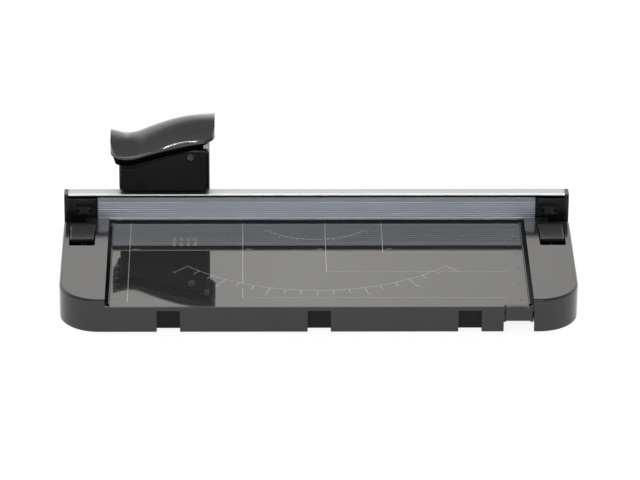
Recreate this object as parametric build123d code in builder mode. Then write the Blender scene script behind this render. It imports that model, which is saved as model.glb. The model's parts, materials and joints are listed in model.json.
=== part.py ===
from build123d import *
import math
import os

# A rotary paper trimmer: a base with a cutting table between two raised arms, an aluminium guide rail
# across the table, and a cutting head that slides along the rail and carries a round blade.
# X runs along the rail, -Y is the side where the paper is fed, Z is up, and the feet stand on Z = 0.

# ---- overall sizes -------------------------------------------------------------------------------
base_width = 387.2
base_depth = 186.0
front_y = -base_depth / 2
rear_y = base_depth / 2
side_x = base_width / 2
skirt_z = 1.0                   # underside of the base, above the floor by the feet
table_z = 21.6                  # the surface that the paper lies on
arm_top_z = 27.4
front_corner = 30.0
rear_corner = 6.0
edge_round = 1.8
wall = 2.4

# ---- cutting table, edge guides and cutting strip -------------------------------------------------
arm_inner_x = 159.1
plate_gap = 0.1
plate_thickness = 3.0
rim = 1.2                       # width of the housing's rim in front of the table plate
guide_width = 3.4
guide_height = 1.2
guide_crest = 0.9               # the flat inner part of an edge guide, before it slopes to the arm
guide_low = 0.25
strip_y = 71.0                  # the cutting line
strip_width = 8.0
strip_half = 164.0
strip_proud = 0.1
deck_z = table_z - plate_thickness
deck_under_z = deck_z - wall

# ---- front skirt: notches and pull-out guide ------------------------------------------------------
notch_width = 17.2
notch_centres = (-112.0, 0.0, 112.0)
notch_depth = 5.0
notch_top_z = 18.4
puller_x = 148.4                # centre of the pull-out guide
puller_gap_half = 11.3
puller_block_half = 9.9
puller_bar_half = 8.7
puller_wall = 2.3
puller_bottom_z = 9.5
puller_top_z = 21.5
puller_wall_bottom_z = 4.3
puller_lip = 2.5                # how far the block's raised front reaches back
puller_block_depth = 8.0
puller_bar_end_y = 42.0
puller_groove_z = 12.7
puller_groove = 1.9

# ---- bottom cover and feet ------------------------------------------------------------------------
cover_top_z = skirt_z + 2.0
cover_screws = [(x, y) for x in (-150, -52, 52, 126) for y in (-70, 82)]
cover_post_r = 3.6
cover_slot_rear_y = -60.0
foot_r = 8.0
foot_places = [(x, y) for x in (-168, 168) for y in (-62, 68)]

# ---- release tabs in the arms ---------------------------------------------------------------------
tab_x = 178.8
tab_half = 8.9
tab_well_half = 9.9
tab_well_front_y = -2.8
tab_well_rear_y = 33.4
tab_front_y = 4.5
tab_bar_front_y = 30.0
tab_well_z = 16.0
tab_rise = 1.9
tab_thickness = 2.2
tab_undercut = 3.0              # how far the front edge leans back below the top
tab_well_corner = 1.8
tab_well_wall = 2.0
tab_pin_y = 31.5
tab_pin_z = 24.4
tab_pin_r = 1.0
tab_spring_y = 14.0
tab_spring_r = 2.6
tab_seat_z = 24.0               # underside of the tab's spring seat

# ---- guide rail -----------------------------------------------------------------------------------
rail_half = 190.4
rail_front_y = 49.3
rail_lip_y = 47.05
rail_top_z = 45.9
rail_bottom_z = 23.3
rail_wall = 1.8
rail_top_rear_y = 56.8
rail_foot_rear_y = 60.5
rail_flange = 1.5
rail_foot = 2.0
rail_top_hook = 4.0
rail_foot_hook = 4.2
rail_hook_wall = 1.6
rail_rib_pitch = 1.9
rail_rib_depth = 0.25
rail_lip_round = 0.65
rail_shadow_depth = 1.1         # the deep groove right under the lip
rail_shadow_height = 2.2
rail_toe = 0.6                  # the small ledge along the bottom edge
rail_toe_height = 1.4
rail_drop = 1.3                 # how far the rail can be pressed down onto the paper
clamp_y = 55.0
clamp_width = 6.0

# ---- end brackets ---------------------------------------------------------------------------------
bracket_inner_x = 168.0
bracket_plate_x = 190.5
bracket_front_y = 46.0
bracket_rear_y = 87.0
bracket_bottom_z = 16.0
bracket_top_z = 42.7
pocket_z = 14.0
pocket_inner_x = 166.0
pocket_front_y = 44.2
notch_foot_x = 177.5
notch_foot_y = 36.6
boss_x = 178.4
boss_z = 34.3
boss_length = 16.0
boss_height = 6.6
boss_depth = 3.6
boss_screw_pitch = 10.4
bolt_x = 180.0
bolt_y = 72.0
bolt_r = 2.5
bolt_clearance = 0.05
bolt_seat_z = 24.0
bolt_head_z = 6.0
lift_spring_r = 3.9

# ---- cutting head ---------------------------------------------------------------------------------
head_left = -151.4
head_right = -82.2
head_front_y = 50.2
head_rear_y = 84.6
head_floor_z = 47.0
head_bottom_z = 24.6
head_lower_y = 61.7
head_wall = 2.2
head_top_z = 82.3
head_low_top_z = 69.3
head_corner = 4.2               # the top right corner in front view
head_foot_corner = 3.2
head_edge_round = 2.4
front_plate = 0.8
front_plate_inset = 2.9
rear_opening_z = (31.0, 54.0)
rear_cover_screws = [(head_left + 8.5, 58.5), (head_right - 8.5, 58.5)]
shoe_centres = (-138.0, -95.6)
shoe_length = 17.0
shoe_screw_z = 35.0
stop_y = (53.2, 79.6)
stop_top_z = 87.4
pivot_x = -96.4
pivot_z = 75.6
pivot_r = 2.0
pivot_head_r = 2.9
pivot_seat_r = 3.3
running_gap = 0.05
blade_x = -133.0
blade_r = 14.0
blade_thickness = 0.8
press_angle = 4.0
arm_y = (66.35, 69.4)
hub_y = (arm_y[1] + 0.2, arm_y[1] + 3.8)
hub_r = 5.5
hub_nose_r = 3.4
blade_y = strip_y - blade_thickness / 2
spring_x = -138.0
spring_y = 57.6
spring_low_z = head_floor_z + head_wall
spring_top_z = 66.0

# ---- handle ---------------------------------------------------------------------------------------
handle_y = 67.0
handle_half = 20.0
handle_left = -157.9
handle_right = -78.1
handle_wall = 2.2
handle_corner = 9.0
handle_edge = 1.6               # height of the upright edge above the crease
handle_edge_round = 3.2
handle_stations = 19            # cross-sections that the hand rest is built on
skirt_gap = 0.1
skirt_depth = 5.4
skirt_inset = 0.8
skirt_wall = 1.0
skirt_taper = 0.5
skirt_floor = 1.4
keel_y = (62.4, 66.3)
keel_screws = [(-123.0, 73.4), (-111.0, 75.4)]
# the handle in side view: a dip for the fingertips at the left, then a long rise for the palm
handle_ridge = (
    (-162.0, 91.9), (-154.0, 88.7), (-146.0, 86.9), (-138.0, 87.8), (-130.0, 91.2), (-120.0, 95.3),
    (-110.0, 98.7), (-100.0, 101.1), (-90.0, 102.4), (-82.0, 102.9), (-74.0, 103.1),
)
handle_crease = (
    (-162.0, 78.2), (-154.0, 76.3), (-146.0, 75.1), (-138.0, 76.2), (-130.0, 78.7), (-120.0, 81.6),
    (-110.0, 84.3), (-100.0, 86.7), (-90.0, 88.6), (-82.0, 89.8), (-74.0, 90.7),
)



def blade_rest_z():
    """The axle's height at rest, which just brings the blade down to the strip when all is pressed."""
    pressed_z = table_z + strip_proud + running_gap + blade_r
    # the axle turns about the pivot by the press angle, and the whole head sinks by the rail's drop
    press = math.radians(press_angle)
    lever_x = blade_x - pivot_x
    below = (pivot_z - (pressed_z + rail_drop) + lever_x * math.sin(press)) / math.cos(press)
    return pivot_z - below


blade_z = blade_rest_z()


# ---- helpers --------------------------------------------------------------------------------------
def height_at(points, x):
    """The height at x on the smooth curve through the given (x, height) points."""
    last = len(points) - 2
    i = max(k for k in range(last + 1) if points[k][0] <= x)
    before, a, b, after = (points[max(min(k, last + 1), 0)] for k in (i - 1, i, i + 1, i + 2))
    span = b[0] - a[0]
    t = (x - a[0]) / span
    rise_a = (b[1] - before[1]) / (b[0] - before[0]) * span
    rise_b = (after[1] - a[1]) / (after[0] - a[0]) * span
    return (
        a[1] * (2 * t**3 - 3 * t**2 + 1)
        + rise_a * (t**3 - 2 * t**2 + t)
        + b[1] * (3 * t**2 - 2 * t**3)
        + rise_b * (t**3 - t**2)
    )


def block(x, y, z, mode=Mode.ADD):
    """A box between two corners, each of x, y and z being a pair of limits in any order."""
    low = [min(pair) for pair in (x, y, z)]
    size = [abs(pair[1] - pair[0]) for pair in (x, y, z)]
    with Locations(tuple(a + s / 2 for a, s in zip(low, size))):
        Box(*size, mode=mode)


def rod(axis, centre, limits, radius, mode=Mode.ADD):
    """A round bar along one of the main axes, from one limit to the other."""
    length = limits[1] - limits[0]
    middle = (limits[0] + limits[1]) / 2
    if axis == "x":
        place = Location((middle, centre[0], centre[1]), (0, 90, 0))
    elif axis == "y":
        place = Location((centre[0], middle, centre[1]), (90, 0, 0))
    else:
        place = Location((centre[0], centre[1], middle))
    with Locations(place):
        Cylinder(radius, length, mode=mode)


def save(name, label):
    """Label one finished piece and write it."""
    name.part.label = label
    export_step(name.part, f"parts/{label}.step")


def base_outline(inset):
    """The base's plan, drawn in by an inset, with large front and small rear corners."""
    with BuildSketch(Plane.XY.offset(skirt_z)) as outline:
        Rectangle(base_width - 2 * inset, base_depth - 2 * inset)
        front = outline.vertices().group_by(Axis.Y)[0]
        fillet(front, radius=front_corner - inset)
        rear = outline.vertices().group_by(Axis.Y)[-1]
        fillet(rear, radius=rear_corner - inset)
    return outline.sketch


def coil_spring(x, y, z_low, z_high, radius, wire_r, turns):
    """A round-wire compression spring standing upright."""
    height = z_high - z_low - 2 * wire_r
    with BuildPart() as spring:
        with BuildLine():
            path = Helix(height / turns, height, radius, center=(x, y, z_low + wire_r))
        with BuildSketch(Plane(path @ 0, z_dir=path % 0)):
            Circle(wire_r)
        sweep(path=path, is_frenet=True)
    return spring


# ---- base -----------------------------------------------------------------------------------------
def base_housing():
    """The moulded base: skirt, raised arms, table recess, rail pockets and tab wells."""
    with BuildPart() as housing:
        extrude(base_outline(0), amount=arm_top_z - skirt_z)
        fillet(housing.faces().sort_by(Axis.Z)[-1].edges(), radius=edge_round)
        # the recess between the arms and the low deck behind them
        between = (-arm_inner_x, arm_inner_x)
        above = (table_z, arm_top_z + 1)
        block(between, (front_y - 1, rear_y + 1), above, Mode.SUBTRACT)
        block((-side_x - 1, side_x + 1), (pocket_front_y, rear_y + 1), above, Mode.SUBTRACT)
        # the seats of the table plate and of the cutting strip
        plate_y = (front_y + rim, strip_y - strip_width / 2)
        block(between, plate_y, (deck_z, table_z + 1), Mode.SUBTRACT)
        strip_gap = strip_width / 2 + plate_gap
        block(
            (-strip_half - plate_gap, strip_half + plate_gap),
            (strip_y - strip_gap, strip_y + strip_gap),
            (deck_z, table_z + 1),
            Mode.SUBTRACT,
        )
        # the hollow underside, higher under the arms
        extrude(base_outline(wall), amount=deck_under_z - skirt_z, mode=Mode.SUBTRACT)
        for side in (-1, 1):
            arm_hollow(side)
            rail_pocket(side)
            tab_well(side)
        skirt_notches()
        puller_channel()
        for x, y in cover_screws:
            rod("z", (x, y), (cover_top_z + 0.05, deck_under_z + 0.5), cover_post_r)
            rod("z", (x, y), (cover_top_z, deck_under_z - 1), 1.5, Mode.SUBTRACT)
    save(housing, "base_housing")


def arm_hollow(side):
    """The space inside one raised arm, under its top wall."""
    x = (side * (arm_inner_x + wall), side * (side_x - wall))
    block(x, (front_y + front_corner, notch_foot_y - wall), (skirt_z, arm_top_z - wall), Mode.SUBTRACT)


def rail_pocket(side):
    """The pocket that one end bracket sinks into, with the bush for its guide bolt."""
    low = pocket_z - wall
    space = (pocket_z, bracket_top_z)
    outside = side * (side_x + 1)
    floor_x = (side * (pocket_inner_x - wall), side * side_x)
    block(floor_x, (notch_foot_y - wall, rear_y - 1), (low, pocket_z))
    block((side * pocket_inner_x, outside), (pocket_front_y, rear_y - 3.5), space, Mode.SUBTRACT)
    block((side * notch_foot_x, outside), (notch_foot_y, pocket_front_y + 1), space, Mode.SUBTRACT)
    # the pocket's walls
    inner_x = (side * (pocket_inner_x - wall), side * pocket_inner_x)
    block(inner_x, (pocket_front_y, rear_y - 1), (low, deck_z))
    front_x = (side * arm_inner_x, side * notch_foot_x)
    block(front_x, (pocket_front_y - wall, pocket_front_y), (low, table_z))
    foot_x = (side * (notch_foot_x - wall), side * (side_x - 1))
    block(foot_x, (notch_foot_y - wall, notch_foot_y), (low, table_z))
    rod("z", (side * bolt_x, bolt_y), (9.0, pocket_z), 6.0)
    rod("z", (side * bolt_x, bolt_y), (8.0, pocket_z + 1), bolt_r + bolt_clearance, Mode.SUBTRACT)


def tab_well(side):
    """The well in one arm that holds the release tab, closed by its own floor."""
    y = (tab_well_front_y, tab_well_rear_y)
    outer = tab_well_half + tab_well_wall
    block(
        (side * (tab_x - outer), side * (tab_x + outer)),
        (y[0] - tab_well_wall, y[1] + 1.0),
        (tab_well_z - tab_well_wall, arm_top_z - 1.0),
    )
    with BuildSketch(Plane.XY.offset(tab_well_z)) as opening:
        with Locations((side * tab_x, (y[0] + y[1]) / 2)):
            Rectangle(2 * tab_well_half, y[1] - y[0])
        fillet(opening.vertices().group_by(Axis.Y)[0], radius=tab_well_corner)
    extrude(opening.sketch, amount=arm_top_z + 1 - tab_well_z, mode=Mode.SUBTRACT)
    reach = tab_well_half + 1.5
    ends = sorted((side * (tab_x - reach), side * (tab_x + reach)))
    rod("x", (tab_pin_y, tab_pin_z), ends, tab_pin_r, Mode.SUBTRACT)


def skirt_notches():
    """Three plain notches in the front skirt, each closed behind by a short wall."""
    for x in notch_centres:
        outer = notch_width / 2 + wall
        y_back = front_y + notch_depth
        block((x - outer, x + outer), (front_y + 1.5, y_back + wall), (skirt_z + 0.6, deck_under_z + 1))
        half = notch_width / 2
        block((x - half, x + half), (front_y - 1, y_back), (skirt_z - 1, notch_top_z), Mode.SUBTRACT)


def puller_channel():
    """The front cut-out and the two grooved walls that the pull-out guide runs between."""
    gap = (puller_x - puller_gap_half, puller_x + puller_gap_half)
    block(gap, (front_y - 1, front_y + wall + 0.5), (0, table_z + 1), Mode.SUBTRACT)
    block(gap, (front_y - 1, front_y + puller_block_depth + 0.4), (0, deck_under_z), Mode.SUBTRACT)
    y = (front_y + puller_block_depth + 1.0, puller_bar_end_y + 6)
    for side in (-1, 1):
        inner = puller_x + side * (puller_gap_half - puller_wall)
        outer = puller_x + side * puller_gap_half
        block((inner, outer), y, (puller_wall_bottom_z, deck_under_z + 0.5))
        half = puller_groove / 2
        groove = (puller_groove_z - half, puller_groove_z + half)
        block((inner, inner + side * 1.2), (y[0] - 1, y[1] + 1), groove, Mode.SUBTRACT)


def cutting_table():
    """The glossy plate that the paper lies on."""
    half = arm_inner_x - plate_gap
    y_rear = strip_y - strip_width / 2 - plate_gap
    with BuildPart() as plate:
        block((-half, half), (front_y + rim + plate_gap, y_rear), (deck_z, table_z))
        gap = (puller_x - puller_gap_half, puller_x + puller_gap_half)
        block(gap, (front_y, front_y + wall + 0.5), (deck_z - 1, table_z + 1), Mode.SUBTRACT)
    save(plate, "cutting_table")


def edge_guide(side, label):
    """A low strip along one arm that squares the paper's edge."""
    outer = arm_inner_x - plate_gap
    inner = outer - guide_width
    y_front, y_rear = front_y + wall + 0.6, rail_lip_y - 1.5
    crest = table_z + guide_height
    with BuildPart() as strip:
        with BuildSketch(Plane.XZ.offset(-y_rear)):
            with BuildLine():
                Polyline(
                    (side * inner, table_z),
                    (side * inner, crest - 0.3),
                    (side * (inner + 0.3), crest),
                    (side * (inner + guide_crest), crest),
                    (side * outer, table_z + guide_low),
                    (side * outer, table_z),
                    close=True,
                )
            make_face()
        extrude(amount=y_rear - y_front)
    save(strip, label)


def cutting_strip():
    """The soft strip that the blade rolls on."""
    with BuildPart() as strip:
        half = strip_width / 2
        z = (deck_z, table_z + strip_proud)
        block((-strip_half, strip_half), (strip_y - half, strip_y + half), z)
        chamfer(strip.faces().sort_by(Axis.Z)[-1].edges().filter_by(Axis.X), length=0.4)
    save(strip, "cutting_strip")


def bottom_cover():
    """The flat cover under the base, open below the pull-out guide."""
    with BuildPart() as cover:
        extrude(base_outline(wall + 0.2), amount=cover_top_z - skirt_z)
        for x in notch_centres:
            outer = notch_width / 2 + wall + 0.3
            y = (front_y, front_y + notch_depth + wall + 0.3)
            block((x - outer, x + outer), y, (0, cover_top_z + 1), Mode.SUBTRACT)
        gap = puller_gap_half + 0.8
        y = (front_y, cover_slot_rear_y)
        block((puller_x - gap, puller_x + gap), y, (0, cover_top_z + 1), Mode.SUBTRACT)
        for x, y in cover_screws:
            rod("z", (x, y), (0, cover_top_z + 1), 1.6, Mode.SUBTRACT)
            rod("z", (x, y), (0, skirt_z + 1.0), 3.2, Mode.SUBTRACT)
        for x, y in foot_places:
            rod("z", (x, y), (0, skirt_z + 0.5), foot_r + 0.1, Mode.SUBTRACT)
    save(cover, "bottom_cover")


def rubber_feet():
    """Four round pads in shallow seats of the bottom cover."""
    with BuildPart() as feet:
        for x, y in foot_places:
            rod("z", (x, y), (0, skirt_z + 0.5), foot_r)
        chamfer(feet.edges().group_by(Axis.Z)[0], length=0.4)
    save(feet, "rubber_feet")


def bottom_screws():
    """The self-tapping screws that hold the bottom cover."""
    with BuildPart() as screws:
        for x, y in cover_screws:
            rod("z", (x, y), (skirt_z + 0.2, skirt_z + 1.0), 2.8)
            rod("z", (x, y), (skirt_z + 1.0, 13.0), 1.48)
            cross_recess("z", (x, y, skirt_z + 0.2), 1.7, 0.5)
    save(screws, "bottom_screws")


def cross_recess(axis, tip, half, depth):
    """A cross-shaped driver recess sunk in the underside of a head, or in a head that faces -Y."""
    width = half / 3.2
    x, y, z = tip
    if axis == "z":
        block((x - half, x + half), (y - width, y + width), (z - 0.1, z + depth), Mode.SUBTRACT)
        block((x - width, x + width), (y - half, y + half), (z - 0.1, z + depth), Mode.SUBTRACT)
    else:
        block((x - half, x + half), (y - 0.1, y + depth), (z - width, z + width), Mode.SUBTRACT)
        block((x - width, x + width), (y - 0.1, y + depth), (z - half, z + half), Mode.SUBTRACT)


def pull_out_guide():
    """The sliding bar with its front block, which is hollow below as a finger pull."""
    front = front_y
    with BuildPart() as guide:
        block(
            (puller_x - puller_block_half, puller_x + puller_block_half),
            (front, front + puller_block_depth),
            (puller_bottom_z, deck_under_z - 0.2),
        )
        block(
            (puller_x - puller_block_half, puller_x + puller_block_half),
            (front, front + puller_lip),
            (puller_bottom_z, puller_top_z),
        )
        half = puller_bar_half
        y = (front + 1, puller_bar_end_y)
        block((puller_x - half, puller_x + half), y, (puller_bottom_z, deck_under_z - 0.2))
        rib = puller_groove / 2 - 0.2
        rib_y = (front + puller_block_depth + 0.5, puller_bar_end_y)
        rib_z = (puller_groove_z - rib, puller_groove_z + rib)
        block((puller_x - half - 1.0, puller_x + half + 1.0), rib_y, rib_z)
        # the bar is a tray, open below
        block(
            (puller_x - half + 2, puller_x + half - 2),
            (front + puller_block_depth, puller_bar_end_y - 2),
            (puller_bottom_z - 1, deck_under_z - 2.2),
            Mode.SUBTRACT,
        )
        fillet(guide.faces().sort_by(Axis.Y)[0].edges(), radius=0.7)
    save(guide, "pull_out_guide")


# ---- release tabs ---------------------------------------------------------------------------------
def release_tab(side, label):
    """One springy tongue: a plate that rises to the front, with edge lips and a hinge bar behind."""
    x = (side * (tab_x - tab_half), side * (tab_x + tab_half))
    rear = tab_well_rear_y - 0.3
    with BuildPart() as tab:
        with BuildSketch(Plane.YZ.offset(min(x))):
            with BuildLine():
                Polyline(
                    (tab_front_y, arm_top_z + tab_rise),
                    (rear, arm_top_z),
                    (rear, arm_top_z - tab_thickness),
                    (tab_front_y + tab_undercut, arm_top_z + tab_rise - tab_thickness - 1.6),
                    close=True,
                )
            make_face()
        extrude(amount=2 * tab_half)
        top = tab.faces().sort_by(Axis.Z)[-1]
        fillet(top.edges().sort_by(Axis.Y)[:3], radius=0.5)
        block(
            (side * (tab_x - tab_well_half + 0.3), side * (tab_x + tab_well_half - 0.3)),
            (tab_bar_front_y - 0.4, rear),
            (tab_pin_z - 2.0, arm_top_z - 0.05),
        )
        # hollow the underside so that the sides and the front are left as lips
        block(
            (side * (tab_x - tab_half + 1.6), side * (tab_x + tab_half - 1.6)),
            (tab_front_y + tab_undercut + 1.8, tab_bar_front_y - 2),
            (tab_pin_z - 3, arm_top_z - 1.6),
            Mode.SUBTRACT,
        )
        rod("z", (side * tab_x, tab_spring_y), (tab_seat_z, arm_top_z - 1.2), 2.0)
        ends = sorted((side * (tab_x - 12), side * (tab_x + 12)))
        rod("x", (tab_pin_y, tab_pin_z), ends, tab_pin_r + running_gap, Mode.SUBTRACT)
    save(tab, label)


def tab_pin(side, label):
    """The hinge pin of one release tab."""
    reach = tab_well_half + 1.4
    ends = sorted((side * (tab_x - reach), side * (tab_x + reach)))
    with BuildPart() as pin:
        rod("x", (tab_pin_y, tab_pin_z), ends, tab_pin_r - 0.02)
    save(pin, label)


# ---- guide rail and its ends ----------------------------------------------------------------------
def guide_rail():
    """The aluminium extrusion: a channel open to the rear with hooked edges, ribbed in front."""
    z0, z1 = rail_bottom_z, rail_top_z
    hook = rail_hook_wall
    with BuildPart() as rail:
        with BuildSketch(Plane.YZ.offset(-rail_half)) as profile:
            toe_y = rail_front_y - rail_toe
            with BuildLine():
                Polyline(
                    (toe_y, z0),
                    (rail_foot_rear_y, z0),
                    (rail_foot_rear_y, z0 + rail_foot + rail_foot_hook),
                    (rail_foot_rear_y - hook, z0 + rail_foot + rail_foot_hook),
                    (rail_foot_rear_y - hook, z0 + rail_foot),
                    (rail_front_y + rail_wall, z0 + rail_foot),
                    (rail_front_y + rail_wall, z1 - rail_flange),
                    (rail_top_rear_y - hook, z1 - rail_flange),
                    (rail_top_rear_y - hook, z1 - rail_flange - rail_top_hook),
                    (rail_top_rear_y, z1 - rail_flange - rail_top_hook),
                    (rail_top_rear_y, z1),
                    (rail_lip_y, z1),
                    (rail_lip_y, z1 - rail_flange),
                    (rail_front_y, z1 - rail_flange),
                    (rail_front_y, z0 + rail_toe_height + rail_toe),
                    (toe_y, z0 + rail_toe_height),
                    close=True,
                )
            make_face()
            fillet(profile.vertices().group_by(Axis.X)[0], radius=rail_lip_round)
            # shallow grooves along the front face, and one deep groove under the lip
            shadow_z = z1 - rail_flange - rail_shadow_height / 2
            rib_count = int((z1 - z0 - 7.5) / rail_rib_pitch)
            for step in range(rib_count):
                z = z0 + 3.4 + step * rail_rib_pitch
                with Locations((rail_front_y, z)):
                    Rectangle(2 * rail_rib_depth, 0.7, mode=Mode.SUBTRACT)
            with Locations((rail_front_y, shadow_z)):
                Rectangle(2 * rail_shadow_depth, rail_shadow_height, mode=Mode.SUBTRACT)
            # the seat of the clamp strip
            with Locations((clamp_y, z0)):
                Rectangle(clamp_width + 0.1, 2.0, mode=Mode.SUBTRACT)
        extrude(amount=2 * rail_half)
        for side in (-1, 1):
            for step in (-0.5, 0.5):
                centre = (side * boss_x + step * boss_screw_pitch, boss_z)
                rod("y", centre, (rail_front_y - 1, rail_front_y + rail_wall + 1), 1.1, Mode.SUBTRACT)
    save(rail, "guide_rail")


def paper_clamp_strip():
    """The clear strip under the rail that presses on the paper."""
    with BuildPart() as strip:
        half = clamp_width / 2
        z = (table_z + rail_drop + 0.05, rail_bottom_z + 0.95)
        block((-arm_inner_x + 0.6, arm_inner_x - 0.6), (clamp_y - half, clamp_y + half), z)
    save(strip, "paper_clamp_strip")


def end_bracket(side, label):
    """The block at one end of the rail: a cradle, an end plate and a screw boss in front."""
    inner = side * bracket_inner_x
    outer = side * side_x
    plate = side * bracket_plate_x
    low, high = bracket_bottom_z, bracket_top_z
    with BuildPart() as bracket:
        with BuildSketch(Plane.YZ.offset(min(inner, outer))):
            with BuildLine():
                Polyline(
                    (bracket_front_y, low),
                    (bracket_rear_y, low),
                    (bracket_rear_y, 26.0),
                    (66.0, 38.0),
                    (61.0, 39.5),
                    (61.0, high),
                    (bracket_front_y, high),
                    close=True,
                )
            make_face()
        extrude(amount=side_x - bracket_inner_x)
        # the end plate, flush with the rail's top and lip
        with BuildSketch(Plane.YZ.offset(min(plate, outer))):
            with BuildLine():
                Polyline(
                    (rail_lip_y, high - 2),
                    (rail_lip_y, rail_top_z),
                    (rail_top_rear_y, rail_top_z),
                    (66.0, 39.5),
                    (66.0, high - 6),
                    close=True,
                )
            make_face()
        extrude(amount=side_x - bracket_plate_x)
        # the cradle for the rail
        rail_end = side * (rail_half + 0.05)
        block(
            (inner - side, rail_end),
            (rail_front_y - rail_toe - 0.1, rail_foot_rear_y + 0.1),
            (rail_bottom_z - 0.05, rail_top_z + 1),
            Mode.SUBTRACT,
        )
        block(
            (inner - side, rail_end),
            (rail_lip_y - 0.1, rail_front_y),
            (rail_top_z - rail_flange - 0.05, rail_top_z + 1),
            Mode.SUBTRACT,
        )
        # the toe in the arm's notch
        toe_x = (side * (notch_foot_x + 1.2), outer)
        block(toe_x, (notch_foot_y + 1.4, bracket_front_y + 1), (low, low + 5))
        screw_boss(side)
        rod("z", (side * bolt_x, bolt_y), (low - 1, bolt_seat_z), lift_spring_r + 1.3, Mode.SUBTRACT)
        rod("z", (side * bolt_x, bolt_y), (bolt_seat_z - 1, 33.0), bolt_r - 0.3, Mode.SUBTRACT)
        top_edges = bracket.edges().filter_by(Axis.X).filter_by_position(Axis.Z, high - 0.1, high + 0.1)
        fillet(top_edges.sort_by(Axis.Y)[0], radius=0.6)
    save(bracket, label)


def screw_boss(side):
    """The bone-shaped boss in front of an end bracket, with two sunk screw seats."""
    half = boss_length / 2
    tip = 2.3
    z = boss_height / 2
    centre = (side * boss_x, bracket_front_y, boss_z)
    with BuildSketch(Plane(centre, x_dir=(1, 0, 0), z_dir=(0, -1, 0))) as outline:
        with BuildLine():
            Polyline(
                (-half, 0), (-half + tip, z), (half - tip, z),
                (half, 0), (half - tip, -z), (-half + tip, -z),
                close=True,
            )
        make_face()
        fillet(outline.vertices(), radius=1.2)
    extrude(outline.sketch, amount=boss_depth)
    front = bracket_front_y - boss_depth
    for step in (-0.5, 0.5):
        centre = (side * boss_x + step * boss_screw_pitch, boss_z)
        rod("y", centre, (front - 1, front + 4.0), 1.75, Mode.SUBTRACT)
        rod("y", centre, (front - 1, rail_front_y + 1), 1.1, Mode.SUBTRACT)


def bracket_screws(side, label):
    """The two screws that hold the rail in one end bracket."""
    with BuildPart() as screws:
        for step in (-0.5, 0.5):
            centre = (side * boss_x + step * boss_screw_pitch, boss_z)
            head = bracket_front_y - boss_depth + 2.2
            rod("y", centre, (head, head + 1.7), 1.65)
            rod("y", centre, (head + 1.6, rail_front_y + rail_wall + 1.5), 1.05)
            cross_recess("y", (centre[0], head, centre[1]), 1.0, 0.6)
    save(screws, label)


def guide_bolt(side, label):
    """The shouldered bolt that guides one end of the rail up and down in the base."""
    centre = (side * bolt_x, bolt_y)
    with BuildPart() as bolt:
        rod("z", centre, (bolt_head_z, 8.9), 4.8)
        rod("z", centre, (8.9, bolt_seat_z), bolt_r)
        rod("z", centre, (bolt_seat_z, 32.5), bolt_r - 0.35)
        with BuildSketch(Plane.XY.offset(bolt_head_z)):
            with Locations(centre):
                RegularPolygon(2.0, 6)
        extrude(amount=1.6, mode=Mode.SUBTRACT)
    save(bolt, label)


# ---- cutting head ---------------------------------------------------------------------------------
def head_side_outline(inset, bottom_z, y):
    """The head's outline at one depth, seen from the front: a sloping top under the handle."""
    left, right = head_left + inset, head_right - inset
    top, low_top = head_top_z - inset, head_low_top_z - inset
    with BuildSketch(Plane.XZ.offset(-y)) as outline:
        with BuildLine():
            Polyline(
                (left, bottom_z),
                (right, bottom_z),
                (right, top),
                (-105.0, top),
                (-140.0, low_top),
                (left, low_top),
                close=True,
            )
        make_face()
        fillet(outline.vertices().group_by(Axis.X)[-1].sort_by(Axis.Y)[-1], radius=head_corner - inset / 2)
        fillet(outline.vertices().group_by(Axis.Y)[0], radius=head_foot_corner - inset / 3)
    return outline.sketch


def carriage_housing():
    """The head's body: a tray over the rail, and a deep box behind it around the blade."""
    with BuildPart() as housing:
        tray = head_side_outline(0, head_floor_z, head_front_y)
        extrude(tray, amount=head_front_y - head_lower_y)
        front = housing.faces().sort_by(Axis.Y)[0]
        rim = [e for e in front.edges() if e.center().Z < head_low_top_z or e.center().X > -90.0]
        fillet(rim, radius=head_edge_round)
        box = head_side_outline(0, head_bottom_z, head_lower_y)
        extrude(box, amount=head_lower_y - head_rear_y)
        upright = housing.edges().filter_by(Axis.Z)
        rear = upright.filter_by_position(Axis.Y, head_rear_y - 0.1, head_rear_y + 0.1)
        fillet(rear, radius=head_foot_corner)
        inside = (head_left + head_wall, head_right - head_wall)
        hollow_rear = head_rear_y - head_wall
        above = head_top_z + 1
        tray_z = (head_floor_z + head_wall, above)
        block(inside, (head_front_y + head_wall, hollow_rear), tray_z, Mode.SUBTRACT)
        block(inside, (head_lower_y + head_wall, hollow_rear), (0, above), Mode.SUBTRACT)
        # the rear opening that the cover closes
        block(
            (head_left + 6.5, head_right - 6.5),
            (hollow_rear - 1, head_rear_y + 1),
            rear_opening_z,
            Mode.SUBTRACT,
        )
        for x, z in rear_cover_screws:
            rod("y", (x, z), (head_rear_y - 7, head_rear_y - 1), 3.0)
            rod("y", (x, z), (head_rear_y - 6, head_rear_y + 1), 1.3, Mode.SUBTRACT)
        pivot = (pivot_x, pivot_z)
        rod("y", pivot, (head_front_y + 0.2, head_front_y + 6), 4.0)
        rod("y", pivot, (head_rear_y - 6, head_rear_y), 4.0)
        rod("y", pivot, (head_front_y - 1, head_rear_y - 1.5), pivot_r + 0.02, Mode.SUBTRACT)
        rod("y", pivot, (head_front_y - 1, head_front_y + 1.6), pivot_seat_r, Mode.SUBTRACT)
        # the spring's seat pin
        rod("z", (spring_x, spring_y), (head_floor_z + 1, spring_low_z + 3), 2.6)
        for x in shoe_centres:
            through = (head_lower_y - 1, head_lower_y + head_wall + 1)
            rod("y", (x, shoe_screw_z), through, 1.3, Mode.SUBTRACT)
    save(housing, "carriage_housing")


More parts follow.
